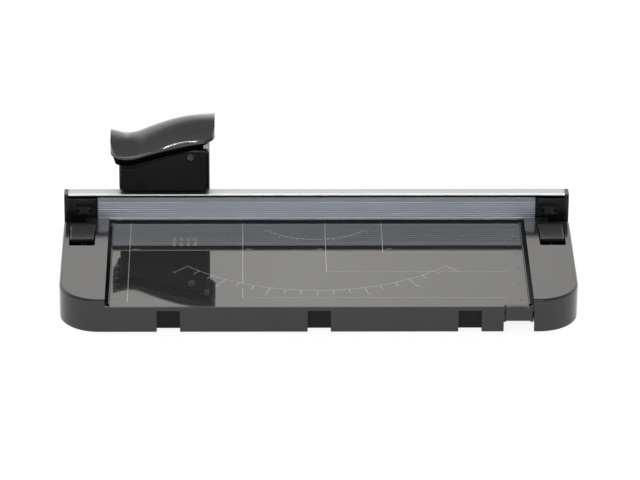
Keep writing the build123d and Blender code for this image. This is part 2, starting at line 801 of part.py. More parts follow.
def carriage_front_plate():
    """The flat cover on the head's front, with a sunk seat round the pivot screw."""
    with BuildPart() as plate:
        extrude(head_side_outline(front_plate_inset, head_floor_z + 1.2, head_front_y), amount=front_plate)
        rod("y", (pivot_x, pivot_z), (head_front_y - 2, head_front_y + 1), pivot_seat_r, Mode.SUBTRACT)
        fillet(plate.faces().sort_by(Axis.Y)[0].outer_wire().edges(), radius=0.3)
    save(plate, "carriage_front_plate")


def carriage_rear_cover():
    """The removable cover at the back of the head, for changing the blade."""
    with BuildPart() as cover:
        with BuildSketch(Plane.XZ.offset(-head_rear_y)):
            with Locations(((head_left + head_right) / 2, 45.5)):
                RectangleRounded(head_right - head_left - 7.0, 34.0, 4.0)
        extrude(amount=-1.2)
        block(
            (head_left + 6.7, head_right - 6.7),
            (head_rear_y - 1.4, head_rear_y + 0.1),
            (rear_opening_z[0] + 0.2, rear_opening_z[1] - 0.2),
        )
        for x, z in rear_cover_screws:
            rod("y", (x, z), (head_rear_y - 1, head_rear_y + 3), 1.5, Mode.SUBTRACT)
        for step in range(5):
            z = 35.0 + step * 3.0
            block((-128.0, -105.0), (head_rear_y + 0.8, head_rear_y + 2), (z, z + 1.4), Mode.SUBTRACT)
        fillet(cover.edges().filter_by(GeomType.CIRCLE).group_by(Axis.Y)[-1], radius=0.2)
    save(cover, "carriage_rear_cover")


def rear_screws():
    """The two screws of the head's rear cover."""
    with BuildPart() as screws:
        for x, z in rear_cover_screws:
            rod("y", (x, z), (head_rear_y - 5, head_rear_y + 1.25), 1.25)
            rod("y", (x, z), (head_rear_y + 1.25, head_rear_y + 2.45), 2.6)
    save(screws, "rear_cover_screws")


def carriage_shoe(x, label):
    """One sliding shoe: it hooks behind both edges of the rail's channel."""
    inner_y = rail_front_y + rail_wall + 0.2
    top_hook_y = rail_top_rear_y - rail_hook_wall - 0.2
    foot_hook_y = rail_foot_rear_y - rail_hook_wall - 0.2
    floor = rail_bottom_z + rail_foot + 0.2
    ceiling = rail_top_z - rail_flange - 0.2
    with BuildPart() as shoe:
        with BuildSketch(Plane.YZ.offset(x - shoe_length / 2)):
            with BuildLine():
                Polyline(
                    (inner_y, floor),
                    (foot_hook_y, floor),
                    (foot_hook_y, floor + rail_foot_hook + 0.2),
                    (head_lower_y, floor + rail_foot_hook + 0.2),
                    (head_lower_y, ceiling - rail_top_hook - 0.2),
                    (top_hook_y, ceiling - rail_top_hook - 0.2),
                    (top_hook_y, ceiling),
                    (inner_y, ceiling),
                    close=True,
                )
            make_face()
        extrude(amount=shoe_length)
        rod("y", (x, shoe_screw_z), (head_lower_y - 5, head_lower_y + 1), 1.2, Mode.SUBTRACT)
        chamfer(shoe.edges().filter_by(Axis.Z).group_by(Axis.Y)[0], length=0.5)
    save(shoe, label)


def shoe_screws():
    """The screws that hold the shoes to the head, driven from inside."""
    with BuildPart() as screws:
        for x in shoe_centres:
            inside = head_lower_y + head_wall
            rod("y", (x, shoe_screw_z), (head_lower_y - 4.5, inside + 0.05), 1.15)
            rod("y", (x, shoe_screw_z), (inside + 0.05, inside + 1.25), 2.4)
    save(screws, "shoe_screws")


def pivot_screw():
    """The long screw that the handle and the blade arm swing on."""
    head = head_front_y + 0.3
    with BuildPart() as screw:
        rod("y", (pivot_x, pivot_z), (head, head + 1.2), pivot_head_r)
        rod("y", (pivot_x, pivot_z), (head + 1.2, head_rear_y - 1.8), pivot_r)
        with BuildSketch(Plane.XZ.offset(-head)):
            with Locations((pivot_x, pivot_z)):
                RegularPolygon(1.5, 6)
        extrude(amount=-0.8, mode=Mode.SUBTRACT)
    save(screw, "pivot_screw")


def handle_stop():
    """The nylon stop on the head's right wall that the raised handle rests on."""
    with BuildPart() as stop:
        inner = head_right - head_wall
        block((inner - 2.5, inner), stop_y, (head_top_z - 5, head_top_z))
        block((inner - 2.5, head_right - 0.8), stop_y, (head_top_z, stop_top_z))
        fillet(stop.faces().sort_by(Axis.Z)[-1].edges().filter_by(Axis.Y), radius=0.6)
    save(stop, "handle_stop")


# ---- handle ---------------------------------------------------------------------------------------
def station_heights():
    """The places along the handle where cross-sections are drawn: x, ridge height, crease height."""
    first, last = handle_left - 1.5, handle_right + 1.5
    for step in range(handle_stations):
        x = first + (last - first) * step / (handle_stations - 1)
        yield x, height_at(handle_ridge, x), height_at(handle_crease, x)


def rest_section(x, ridge_z, crease_z, gap, base_drop):
    """One cross-section of the hand rest: a crown with rounded shoulders over short upright edges."""
    half = handle_half - gap
    shoulder_z = crease_z + handle_edge
    with BuildSketch(Plane.YZ.offset(x)) as section:
        with BuildLine():
            Polyline(
                (handle_y - half, shoulder_z),
                (handle_y - half, crease_z - base_drop),
                (handle_y + half, crease_z - base_drop),
                (handle_y + half, shoulder_z),
            )
            ThreePointArc(
                (handle_y + half, shoulder_z),
                (handle_y, ridge_z - gap),
                (handle_y - half, shoulder_z),
            )
        make_face()
        shoulders = section.vertices().group_by(Axis.Y)[-1]
        fillet(shoulders, radius=handle_edge_round)
    return section.sketch


def skirt_section(x, crease_z, top_drop, bottom_drop, inset):
    """One cross-section of the handle's lower shell, which narrows a little downward."""
    half = handle_half - inset
    with BuildSketch(Plane.YZ.offset(x)) as section:
        with BuildLine():
            Polyline(
                (handle_y - half, crease_z - top_drop),
                (handle_y + half, crease_z - top_drop),
                (handle_y + half - skirt_taper, crease_z - bottom_drop),
                (handle_y - half + skirt_taper, crease_z - bottom_drop),
                close=True,
            )
        make_face()
    return section.sketch


def handle_ends(inset, drop):
    """The lower shell in side view: its left end leans inward and its right end tapers away."""
    left, right = handle_left + inset, handle_right - inset
    with BuildSketch(Plane.XZ.offset(-handle_y + handle_half + 1)) as outline:
        with BuildLine():
            Polyline(
                (left, 79.0),
                (left + 5.2, 66.0),
                (right - 32.5, 76.0 - drop),
                (right - 5.1, 88.4 - drop),
                (right, 91.6 - drop),
                (right, 106.0),
                (left, 106.0),
                close=True,
            )
        make_face()
    return outline.sketch


def handle_plan(inset):
    """The handle's plan with rounded corners."""
    width = handle_right - handle_left - 2 * inset
    with BuildSketch(Plane.XY.offset(60)) as plan:
        with Locations(((handle_left + handle_right) / 2, handle_y)):
            RectangleRounded(width, 2 * (handle_half - inset), handle_corner - inset)
    return plan.sketch


def handle_top_shell():
    """The glossy saddle that the hand rests on."""
    with BuildPart() as shell:
        loft([rest_section(x, ridge, crease, 0, 0) for x, ridge, crease in station_heights()])
        extrude(handle_plan(0), amount=60, mode=Mode.INTERSECT)
        with BuildPart(mode=Mode.PRIVATE) as core:
            gap = handle_wall
            loft([rest_section(x, ridge, crease, gap, 1.0) for x, ridge, crease in station_heights()])
            extrude(handle_plan(gap), amount=60, mode=Mode.INTERSECT)
        add(core.part, mode=Mode.SUBTRACT)
    save(shell, "handle_top_shell")


def handle_lower_shell():
    """The darker skirt under the hand rest, with a floor, a keel for the blade arm and a spring seat."""
    depth = 2 * handle_half + 2
    with BuildPart() as shell:
        stations = [(x, crease) for x, _, crease in station_heights()]
        loft([skirt_section(x, z, skirt_gap, skirt_depth, skirt_inset) for x, z in stations])
        extrude(handle_plan(skirt_inset), amount=60, mode=Mode.INTERSECT)
        extrude(handle_ends(skirt_inset, 0), amount=-depth, mode=Mode.INTERSECT)
        with BuildPart(mode=Mode.PRIVATE) as core:
            inset = skirt_inset + skirt_wall
            loft([skirt_section(x, z, skirt_floor, skirt_depth + 1, inset) for x, z in stations])
            extrude(handle_plan(inset), amount=60, mode=Mode.INTERSECT)
            extrude(handle_ends(inset, 4.0), amount=-depth, mode=Mode.INTERSECT)
        add(core.part, mode=Mode.SUBTRACT)
        # the keel that the blade arm is screwed to
        with BuildSketch(Plane.XZ.offset(-keel_y[0])):
            with BuildLine():
                Polyline((-128.0, 70.8), (-106.0, 72.0), (-106.0, 84.5), (-128.0, 78.4), close=True)
            make_face()
        extrude(amount=keel_y[0] - keel_y[1])
        for x, z in keel_screws:
            rod("y", (x, z), (keel_y[0] - 1, keel_y[1] + 1), 1.2, Mode.SUBTRACT)
        rod("z", (spring_x, spring_y), (spring_top_z + 0.05, 75.2), 4.8)
    save(shell, "handle_lower_shell")


def blade_arm():
    """The plate that joins the handle to the blade's axle, with a long sleeve on the pivot screw."""
    with BuildPart() as arm:
        with BuildSketch(Plane.XZ.offset(-arm_y[0])) as outline:
            with BuildLine():
                Polyline(
                    (-92.0, 79.6),
                    (-105.0, 80.5),
                    (-128.0, 77.5),
                    (-138.0, 58.0),
                    (-138.5, blade_z - 5.0),
                    (-127.5, blade_z - 5.0),
                    (-122.0, 60.0),
                    (-92.0, 71.4),
                    close=True,
                )
            make_face()
            fillet(outline.vertices(), radius=3.0)
        extrude(amount=arm_y[0] - arm_y[1])
        rod("y", (pivot_x, pivot_z), (head_front_y + 6.3, arm_y[0] + 0.5), 4.2)
        rod("y", (pivot_x, pivot_z), (arm_y[1] - 0.5, head_rear_y - 6.3), 4.2)
        bore = pivot_r + running_gap
        rod("y", (pivot_x, pivot_z), (head_front_y, head_rear_y), bore, Mode.SUBTRACT)
        rod("y", (blade_x, blade_z), (arm_y[0] - 1, arm_y[1] + 1), pivot_r + 0.01, Mode.SUBTRACT)
        for x, z in keel_screws:
            rod("y", (x, z), (arm_y[0] - 1, arm_y[1] + 1), 1.3, Mode.SUBTRACT)
    save(arm, "blade_arm")


def handle_screws():
    """The screws that join the blade arm to the lower shell's keel."""
    with BuildPart() as screws:
        for x, z in keel_screws:
            rod("y", (x, z), (keel_y[0] + 0.3, arm_y[1] + 0.05), 1.15)
            rod("y", (x, z), (arm_y[1] + 0.05, arm_y[1] + 1.25), 2.4)
    save(screws, "handle_screws")


def blade_axle():
    """The flanged pin that the blade's hub turns on."""
    with BuildPart() as axle:
        rod("y", (blade_x, blade_z), (arm_y[0] - 2.0, arm_y[0] - 0.05), 3.4)
        rod("y", (blade_x, blade_z), (arm_y[0] - 0.1, hub_y[1] + 0.3), pivot_r)
        rod("y", (blade_x, blade_z), (hub_y[1] + 0.2, hub_y[1] + 1.0), 3.0)
    save(axle, "blade_axle")


def rotary_blade():
    """The round blade, ground from both sides to its edge."""
    with BuildPart() as blade:
        with BuildSketch(Plane.XY):
            with BuildLine():
                t = blade_thickness
                Polyline(
                    (hub_nose_r + 0.02, 0),
                    (blade_r - 1.6, 0),
                    (blade_r, t / 2 - 0.05),
                    (blade_r, t / 2 + 0.05),
                    (blade_r - 1.6, t),
                    (hub_nose_r + 0.02, t),
                    close=True,
                )
            make_face()
        revolve(axis=Axis.Y)
    blade.part = blade.part.moved(Location((blade_x, blade_y, blade_z)))
    save(blade, "rotary_blade")


def blade_hub():
    """The moulded hub that carries the blade on the axle."""
    with BuildPart() as hub:
        centre = (blade_x, blade_z)
        rod("y", centre, (hub_y[0], blade_y - 0.01), hub_r)
        rod("y", centre, (blade_y - 0.1, hub_y[1]), hub_nose_r)
        rod("y", centre, (hub_y[0] - 1, hub_y[1] + 1), pivot_r + running_gap, Mode.SUBTRACT)
    save(hub, "blade_hub")


def springs():
    """The compression springs of the rail, the release tabs and the handle."""
    for side, word in ((-1, "left"), (1, "right")):
        z = (pocket_z + running_gap, bolt_seat_z - running_gap)
        save(coil_spring(side * bolt_x, bolt_y, *z, lift_spring_r, 0.45, 5), f"rail_lift_spring_{word}")
        z = (tab_well_z + running_gap, tab_seat_z - running_gap)
        save(coil_spring(side * tab_x, tab_spring_y, *z, tab_spring_r, 0.3, 5), f"tab_spring_{word}")
    z = (spring_low_z + running_gap, spring_top_z)
    save(coil_spring(spring_x, spring_y, *z, 3.8, 0.4, 6), "handle_spring")


# ---- write every piece ----------------------------------------------------------------------------
os.makedirs("parts", exist_ok=True)
base_housing()
cutting_table()
cutting_strip()
bottom_cover()
rubber_feet()
bottom_screws()
pull_out_guide()
for side, word in ((-1, "left"), (1, "right")):
    edge_guide(side, f"edge_guide_{word}")
    release_tab(side, f"release_tab_{word}")
    tab_pin(side, f"tab_pin_{word}")
    end_bracket(side, f"end_bracket_{word}")
    bracket_screws(side, f"bracket_screws_{word}")
    guide_bolt(side, f"guide_bolt_{word}")
guide_rail()
paper_clamp_strip()
carriage_housing()
carriage_front_plate()
carriage_rear_cover()
rear_screws()
for x, word in zip(shoe_centres, ("left", "right")):
    carriage_shoe(x, f"carriage_shoe_{word}")
shoe_screws()
pivot_screw()
handle_stop()
handle_top_shell()
handle_lower_shell()
blade_arm()
handle_screws()
blade_axle()
rotary_blade()
blade_hub()
springs()
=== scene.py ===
import json
import math

import bmesh
import bpy
from mathutils import Matrix, Vector


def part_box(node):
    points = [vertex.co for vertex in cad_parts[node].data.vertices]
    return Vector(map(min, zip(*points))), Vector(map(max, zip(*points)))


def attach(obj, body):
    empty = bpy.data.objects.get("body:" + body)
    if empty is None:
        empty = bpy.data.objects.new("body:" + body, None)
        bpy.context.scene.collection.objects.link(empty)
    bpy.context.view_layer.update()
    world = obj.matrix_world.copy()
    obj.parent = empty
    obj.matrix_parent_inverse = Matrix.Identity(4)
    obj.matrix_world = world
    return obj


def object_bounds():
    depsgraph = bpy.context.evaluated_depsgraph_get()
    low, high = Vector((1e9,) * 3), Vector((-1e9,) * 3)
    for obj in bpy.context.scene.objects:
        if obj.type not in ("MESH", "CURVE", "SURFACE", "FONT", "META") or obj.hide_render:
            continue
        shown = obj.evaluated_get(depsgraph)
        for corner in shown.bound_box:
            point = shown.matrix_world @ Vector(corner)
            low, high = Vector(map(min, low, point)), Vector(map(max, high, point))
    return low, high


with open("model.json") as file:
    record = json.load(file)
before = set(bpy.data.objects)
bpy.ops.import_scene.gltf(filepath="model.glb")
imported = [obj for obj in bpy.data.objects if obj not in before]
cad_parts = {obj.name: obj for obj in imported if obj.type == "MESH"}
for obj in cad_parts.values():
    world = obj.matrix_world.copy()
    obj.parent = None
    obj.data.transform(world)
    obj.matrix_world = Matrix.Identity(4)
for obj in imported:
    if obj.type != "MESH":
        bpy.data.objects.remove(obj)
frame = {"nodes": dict(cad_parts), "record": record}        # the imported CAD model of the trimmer, in metres
cad_low, cad_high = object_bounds()

MM = 0.001
nodes = frame["nodes"]
plate_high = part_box("cutting_table")[1]
strip_low, strip_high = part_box("cutting_strip")
rail_low, rail_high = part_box("guide_rail")

# ---- places on the object ---------------------------------------------------------------------------
CUT_Y = (strip_low.y + strip_high.y) / 2         # the line that the blade cuts along
RAIL_FACE_Y = rail_low.y + 2.25 * MM             # the rail's front face, behind its lip
RAIL_TOP_Z = rail_high.z - 0.25 * MM             # the rail's top lies above this
LIP_Z = rail_high.z - 1.2 * MM                   # the lip's nose: above this and in front of LIP_Y
LIP_Y = rail_low.y + 1.4 * MM
GROOVE_Y = (RAIL_FACE_Y + 0.3 * MM, RAIL_FACE_Y + 1.3 * MM)
GROOVE_Z = (rail_high.z - 3.9 * MM, rail_high.z - 1.4 * MM)
NOTCH_X = (-125.0 * MM, 125.0 * MM)              # a box around the backs of the front skirt's notches
NOTCH_Y = (cad_low.y + 2.5 * MM, cad_low.y + 5.5 * MM)
NOTCH_TOP_Z = 18.3 * MM

# ---- colours by place, which stand in for the way that the light falls on the real object ----------
# painted light: the rail's top is coloured lighter, where the light falls on it
RAIL_TOP_LIGHT = (0.40, 0.42, 0.45)
# painted highlight: the nose of the rail's lip is coloured white
RAIL_LIP_HIGHLIGHT = (1.0, 1.0, 1.0)
# painted shade: the groove under the lip is coloured nearly black
RAIL_GROOVE_SHADE = (0.012, 0.014, 0.018)
NOTCH_SHADE = (0.011, 0.011, 0.0112)

# ---- edges that catch the light --------------------------------------------------------------------
SOFT_EDGE = 0.25 * MM
SOFT_EDGE_ANGLE = 50
SOFT_EDGED = ("end_bracket_left", "end_bracket_right", "release_tab_left", "release_tab_right",
              "pull_out_guide")

# ---- print on the table ----------------------------------------------------------------------------
PRINT_Z = plate_high.z + 0.02 * MM
INK = 0.02 * MM                                  # thickness of the ink
LINE = 0.5 * MM                                  # width of a printed line
PRINT_START_Y = rail_low.y - 0.5 * MM
PRINT_END_X = 142 * MM
# paper sizes that the table is marked for: the line across its width, and its depth from the cut
PAPER = (("A4", -142.5, 155.5), ("A5", -56.8, 149.0), ("A6", 6.2, 106.5), ("A7", 49.5, 74.5))
SHEETS = ("297 x 210", "210 x 148", "148 x 105", "105 x 74")
ARC_X = -1.1 * MM
ARCS = ((137.3, 6.5, 12.0, True), (52.3, 1.8, 4.4, False))     # radius, tick, longest tick, numbered
INCH = 25.4 * MM

# ---- light and camera ------------------------------------------------------------------------------
SURROUND = 0.62                                  # brightness of the surround, by direction
BACKDROP = 2.25
OVERHEAD = 0.45                                  # the surround's brightness is multiplied by this overhead
FRONT_CHANGE = -0.14                             # added to it low in front
FLOOR_GLOW = 0.86
FLOOR_HALF = 30.0
CAMERA_PLACE = (-0.0555, -3.0132, 1.5453)
CAMERA_TURN = (63.3135, -0.3876, -0.8952)        # degrees
CAMERA_LENS = 250.04


# ---- shader helpers --------------------------------------------------------------------------------
def new_material(name):
    """An empty node material with its shader, and the object's own coordinates."""
    material = bpy.data.materials.new(name)
    material.use_nodes = True
    tree = material.node_tree
    shader = tree.nodes["Principled BSDF"]
    place = tree.nodes.new("ShaderNodeTexCoord")
    return material, tree, shader, place.outputs["Object"]


def scaled(tree, vector, scale):
    """The coordinates stretched by a scale along each axis."""
    mapping = tree.nodes.new("ShaderNodeMapping")
    mapping.inputs["Scale"].default_value = scale
    tree.links.new(vector, mapping.inputs["Vector"])
    return mapping.outputs["Vector"]


def noise(tree, vector, scale, detail=3.0, roughness=0.5):
    """A smooth noise value from 0 to 1."""
    node = tree.nodes.new("ShaderNodeTexNoise")
    node.inputs["Scale"].default_value = scale
    node.inputs["Detail"].default_value = detail
    node.inputs["Roughness"].default_value = roughness
    tree.links.new(vector, node.inputs["Vector"])
    return node.outputs["Fac"]


def spread(tree, value, low, high, start=0.35, end=0.65):
    """The value's middle stretch mapped to a range."""
    node = tree.nodes.new("ShaderNodeMapRange")
    node.inputs["From Min"].default_value = start
    node.inputs["From Max"].default_value = end
    node.inputs["To Min"].default_value = low
    node.inputs["To Max"].default_value = high
    tree.links.new(value, node.inputs["Value"])
    return node.outputs["Result"]


def two_colours(tree, factor, first, second):
    """A colour between two, by a factor."""
    node = tree.nodes.new("ShaderNodeMix")
    node.data_type = "RGBA"
    node.inputs["A"].default_value = (*first, 1.0)
    node.inputs["B"].default_value = (*second, 1.0)
    tree.links.new(factor, node.inputs["Factor"])
    return node.outputs["Result"]


def blended(tree, factor, colours, other):
    """A shaded colour that gives way to a plain one where the factor is one."""
    node = tree.nodes.new("ShaderNodeMix")
    node.data_type = "RGBA"
    node.inputs["B"].default_value = (*other, 1.0)
    tree.links.new(colours, node.inputs["A"])
    tree.links.new(factor, node.inputs["Factor"])
    return node.outputs["Result"]


def bump(tree, shader, layers):
    """Surface relief from several height layers, each a (value, depth in metres) pair."""
    normal = None
    for height, depth in layers:
        node = tree.nodes.new("ShaderNodeBump")
        node.inputs["Strength"].default_value = 1.0
        node.inputs["Distance"].default_value = depth
        tree.links.new(height, node.inputs["Height"])
        if normal is not None:
            tree.links.new(normal, node.inputs["Normal"])
        normal = node.outputs["Normal"]
    tree.links.new(normal, shader.inputs["Normal"])


def compared(tree, value, operation, threshold):
    """One where the comparison holds, and nought elsewhere."""
    node = tree.nodes.new("ShaderNodeMath")
    node.operation = operation
    node.inputs[1].default_value = threshold
    tree.links.new(value, node.inputs[0])
    return node.outputs[0]


def combined(tree, operation, first, second):
    """Two values put together by an operation."""
    node = tree.nodes.new("ShaderNodeMath")
    node.operation = operation
    tree.links.new(first, node.inputs[0])
    tree.links.new(second, node.inputs[1])
    return node.outputs[0]


def both(tree, first, second):
    """The product of two values."""
    return combined(tree, "MULTIPLY", first, second)


def within(tree, value, span):
    """One where the value lies in a span, and nought elsewhere."""
    low, high = span
    return both(tree, compared(tree, value, "GREATER_THAN", low), compared(tree, value, "LESS_THAN", high))


def separated(tree, vector):
    """The X, Y and Z of a vector, by name."""
    node = tree.nodes.new("ShaderNodeSeparateXYZ")
    tree.links.new(vector, node.inputs[0])
    return node.outputs


def tinted(colour, factor):
    """A colour made lighter or darker."""
    return tuple(channel * factor for channel in colour)


# ---- materials -------------------------------------------------------------------------------------
def moulded(name, colour, roughness, grain, depth, variation=0.12, specular=0.5):
    """Moulded plastic: faint cloudy colour, a fine grain, and gloss that varies a little."""
    material, tree, shader, place = new_material(name)
    cloud = noise(tree, place, 28.0, 4.0)
    speck = noise(tree, place, grain, 2.0, 0.6)
    factor = spread(tree, cloud, 0.0, 1.0, 0.3, 0.7)
    colours = two_colours(tree, factor, tinted(colour, 1 - variation), tinted(colour, 1 + variation))
    tree.links.new(colours, shader.inputs["Base Color"])
    tree.links.new(spread(tree, speck, roughness * 0.85, roughness * 1.15), shader.inputs["Roughness"])
    shader.inputs["Specular IOR Level"].default_value = specular
    ripple = noise(tree, place, 90.0, 2.0)
    bump(tree, shader, [(ripple, depth * 4), (speck, depth)])
    return material


def darken_notches(material):
    """Give the backs of the front skirt's notches a darker colour, as if they lay in shade."""
    tree = material.node_tree
    shader = tree.nodes["Principled BSDF"]
    before = shader.inputs["Base Color"].links[0].from_socket
    place = tree.nodes.new("ShaderNodeTexCoord").outputs["Object"]
    parts = separated(tree, place)
    shade = both(tree, within(tree, parts["Y"], NOTCH_Y), within(tree, parts["X"], NOTCH_X))
    shade = both(tree, shade, compared(tree, parts["Z"], "LESS_THAN", NOTCH_TOP_Z))
    tree.links.new(blended(tree, shade, before, NOTCH_SHADE), shader.inputs["Base Color"])
    tree.links.new(spread(tree, shade, 0.5, 0.12, 0.0, 1.0), shader.inputs["Specular IOR Level"])


def polished_table(name, colour):
    """The glossy table plate: deep grey with a slight waviness and fine handling scratches."""
    material, tree, shader, place = new_material(name)
    cloud = noise(tree, place, 9.0, 4.0)
    factor = spread(tree, cloud, 0.0, 1.0, 0.3, 0.7)
    colours = two_colours(tree, factor, tinted(colour, 0.94), tinted(colour, 1.06))
    tree.links.new(colours, shader.inputs["Base Color"])
    streak = noise(tree, scaled(tree, place, (14.0, 900.0, 14.0)), 1.0, 3.0, 0.7)
    rub = noise(tree, place, 16.0, 5.0, 0.6)
    worn = both(tree, streak, rub)
    tree.links.new(spread(tree, worn, 0.02, 0.07, 0.15, 0.4), shader.inputs["Roughness"])
    grain = noise(tree, place, 900.0, 2.0)
    wave = noise(tree, place, 22.0, 2.0)
    bump(tree, shader, [(wave, 0.000006), (grain, 0.0000004)])
    return material


def extruded_aluminium(name, colour):
    """Aluminium with fine drawn lines, with painted light on the top, a painted highlight on the lip and
    painted shade in the groove.
    """
    material, tree, shader, place = new_material(name)
    shader.inputs["Metallic"].default_value = 1.0
    lines = noise(tree, scaled(tree, place, (6.0, 2600.0, 2600.0)), 1.0, 4.0, 0.7)
    band = noise(tree, scaled(tree, place, (2.0, 420.0, 420.0)), 1.0, 3.0, 0.6)
    factor = spread(tree, band, 0.0, 1.0)
    colours = two_colours(tree, factor, tinted(colour, 0.96), tinted(colour, 1.03))
    parts = separated(tree, place)
    # painted light: the rail's top is coloured lighter
    top = compared(tree, parts["Z"], "GREATER_THAN", RAIL_TOP_Z)
    colours = blended(tree, top, colours, RAIL_TOP_LIGHT)
    # painted highlight: the nose of the lip is coloured white
    lip = both(tree, compared(tree, parts["Z"], "GREATER_THAN", LIP_Z),
               compared(tree, parts["Y"], "LESS_THAN", LIP_Y))
    colours = blended(tree, lip, colours, RAIL_LIP_HIGHLIGHT)
    # painted shade: the groove under the lip is coloured nearly black
    groove = both(tree, within(tree, parts["Y"], GROOVE_Y), within(tree, parts["Z"], GROOVE_Z))
    tree.links.new(blended(tree, groove, colours, RAIL_GROOVE_SHADE), shader.inputs["Base Color"])
    tree.links.new(spread(tree, lines, 0.36, 0.46), shader.inputs["Roughness"])
    bump(tree, shader, [(band, 0.0000012), (lines, 0.0000006)])
    return material


def metal(name, colour, roughness, turning=600.0):
    """Plain steel with faint tooling marks."""
    material, tree, shader, place = new_material(name)
    shader.inputs["Metallic"].default_value = 1.0
    marks = noise(tree, scaled(tree, place, (turning, turning, turning * 0.2)), 1.0, 3.0, 0.6)
    patch = noise(tree, place, 120.0, 3.0)
    colours = two_colours(tree, spread(tree, patch, 0.0, 1.0), tinted(colour, 0.85), tinted(colour, 1.1))
    tree.links.new(colours, shader.inputs["Base Color"])
    tree.links.new(spread(tree, marks, roughness * 0.7, roughness * 1.3), shader.inputs["Roughness"])
    bump(tree, shader, [(marks, 0.000004)])
    return material


def rubber(name, colour):
    """Matte rubber with a coarse skin."""
    material, tree, shader, place = new_material(name)
    skin = noise(tree, place, 1800.0, 3.0, 0.7)
    dust = noise(tree, place, 60.0, 4.0)
    colours = two_colours(tree, spread(tree, dust, 0.0, 1.0), colour, tinted(colour, 1.7))
    tree.links.new(colours, shader.inputs["Base Color"])
    tree.links.new(spread(tree, skin, 0.7, 0.9), shader.inputs["Roughness"])
    bump(tree, shader, [(skin, 0.00003)])
    return material


def clear_plastic(name):
    """The clear strip under the rail."""
    material, tree, shader, place = new_material(name)
    shader.inputs["Base Color"].default_value = (0.8, 0.84, 0.86, 1.0)
    shader.inputs["Transmission Weight"].default_value = 0.85
    shader.inputs["IOR"].default_value = 1.49
    scuff = noise(tree, scaled(tree, place, (30.0, 300.0, 300.0)), 1.0, 3.0)
    tree.links.new(spread(tree, scuff, 0.08, 0.25), shader.inputs["Roughness"])
    bump(tree, shader, [(scuff, 0.000005)])
    return material


def print_ink(name, colour, roughness):
    """Screen-printed ink: thin, slightly uneven, less glossy than the plate."""
    material, tree, shader, place = new_material(name)
    wear = noise(tree, place, 420.0, 4.0, 0.7)
    colours = two_colours(tree, spread(tree, wear, 0.0, 1.0), tinted(colour, 0.82), tinted(colour, 1.05))
    tree.links.new(colours, shader.inputs["Base Color"])
    tree.links.new(spread(tree, wear, roughness * 0.8, roughness * 1.2), shader.inputs["Roughness"])
    bump(tree, shader, [(wear, 0.000003)])
    return material


finishes = {
    "housing_plastic": moulded("housing_plastic", (0.019, 0.0195, 0.020), 0.14, 2600.0, 0.0000012,
                               specular=0.46),
    "table_plastic": polished_table("table_plastic", (0.033, 0.035, 0.034)),
    "guide_plastic": moulded("guide_plastic", (0.010, 0.0103, 0.0103), 0.16, 2600.0, 0.000001, 0.12, 0.34),
    "strip_plastic": moulded("strip_plastic", (0.30, 0.30, 0.29), 0.55, 1500.0, 0.00001),
    "cover_plastic": moulded("cover_plastic", (0.022, 0.022, 0.023), 0.5, 1500.0, 0.00002),
    "rubber": rubber("rubber", (0.018, 0.018, 0.018)),
    "screw_steel": metal("screw_steel", (0.62, 0.62, 0.63), 0.28),
    # painted shade: the springs' steel is coloured dark, for the springs down in the wells
    "spring_steel": metal("spring_steel", (0.10, 0.10, 0.11), 0.35),
    "black_screw": metal("black_screw", (0.03, 0.03, 0.032), 0.35),
    "rail_aluminium": extruded_aluminium("rail_aluminium", (0.72, 0.76, 0.83)),
    "bracket_plastic": moulded("bracket_plastic", (0.0055, 0.0058, 0.006), 0.24, 2200.0, 0.000002,
                               variation=0.2, specular=0.42),
    "clear_strip": clear_plastic("clear_strip"),
    "head_plastic": moulded("head_plastic", (0.002, 0.002, 0.0022), 0.26, 2200.0, 0.000002, 0.2, 0.35),
    "plate_plastic": moulded("plate_plastic", (0.0105, 0.0105, 0.0107), 0.42, 1500.0, 0.000008, 0.25, 0.16),
    "nylon": moulded("nylon", (0.55, 0.55, 0.53), 0.4, 1200.0, 0.00001),
    "handle_gloss": moulded("handle_gloss", (0.050, 0.052, 0.052), 0.08, 2600.0, 0.0000008, 0.12, 0.6),
    "handle_matte": moulded("handle_matte", (0.0008, 0.0009, 0.0011), 0.3, 2000.0, 0.000003, 0.15, 0.03),
    "arm_steel": metal("arm_steel", (0.05, 0.05, 0.052), 0.4),
    "blade_steel": metal("blade_steel", (0.70, 0.71, 0.72), 0.2),
    "hub_plastic": moulded("hub_plastic", (0.42, 0.05, 0.03), 0.3, 1500.0, 0.000006),
}
darken_notches(finishes["housing_plastic"])
# painted light: the release tabs' plastic is coloured lighter than the housing's, for the light on their tops
tab_painted_light = moulded("tab_painted_light", (0.058, 0.06, 0.06), 0.16, 2600.0, 0.000001, specular=0.55)
# painted shade: the pivot screw's bright steel is coloured dark, as it sits in a dark hole
pivot_painted_shade = metal("pivot_painted_shade", (0.16, 0.16, 0.165), 0.22)
own_finishes = {
    "release_tab_left": tab_painted_light,
    "release_tab_right": tab_painted_light,
    "pivot_screw": pivot_painted_shade,
}
ink_grey = print_ink("ink_grey", (0.44, 0.44, 0.43), 0.08)
ink_faint = print_ink("ink_faint", (0.17, 0.17, 0.167), 0.07)
ink_dark = print_ink("ink_dark", (0.01, 0.01, 0.01), 0.3)


def soften_edges(name):
    """A small bevel along the sharp edges of one node, so that they catch the light."""
    bevel = nodes[name].modifiers.new("soft_edge", "BEVEL")
    bevel.width = SOFT_EDGE
    bevel.segments = 2
    bevel.limit_method = "ANGLE"
    bevel.angle_limit = math.radians(SOFT_EDGE_ANGLE)


def dress_nodes():
    """Every CAD node gets the finish of its material slot, and a few get one of their own."""
    for entry in frame["record"]["subparts"]:
        mesh = nodes[entry["node"]].data
        mesh.materials.clear()
        mesh.materials.append(finishes[entry["material_slot"]])
    for name, finish in own_finishes.items():
        nodes[name].data.materials[0] = finish
    for name in SOFT_EDGED:
        soften_edges(name)


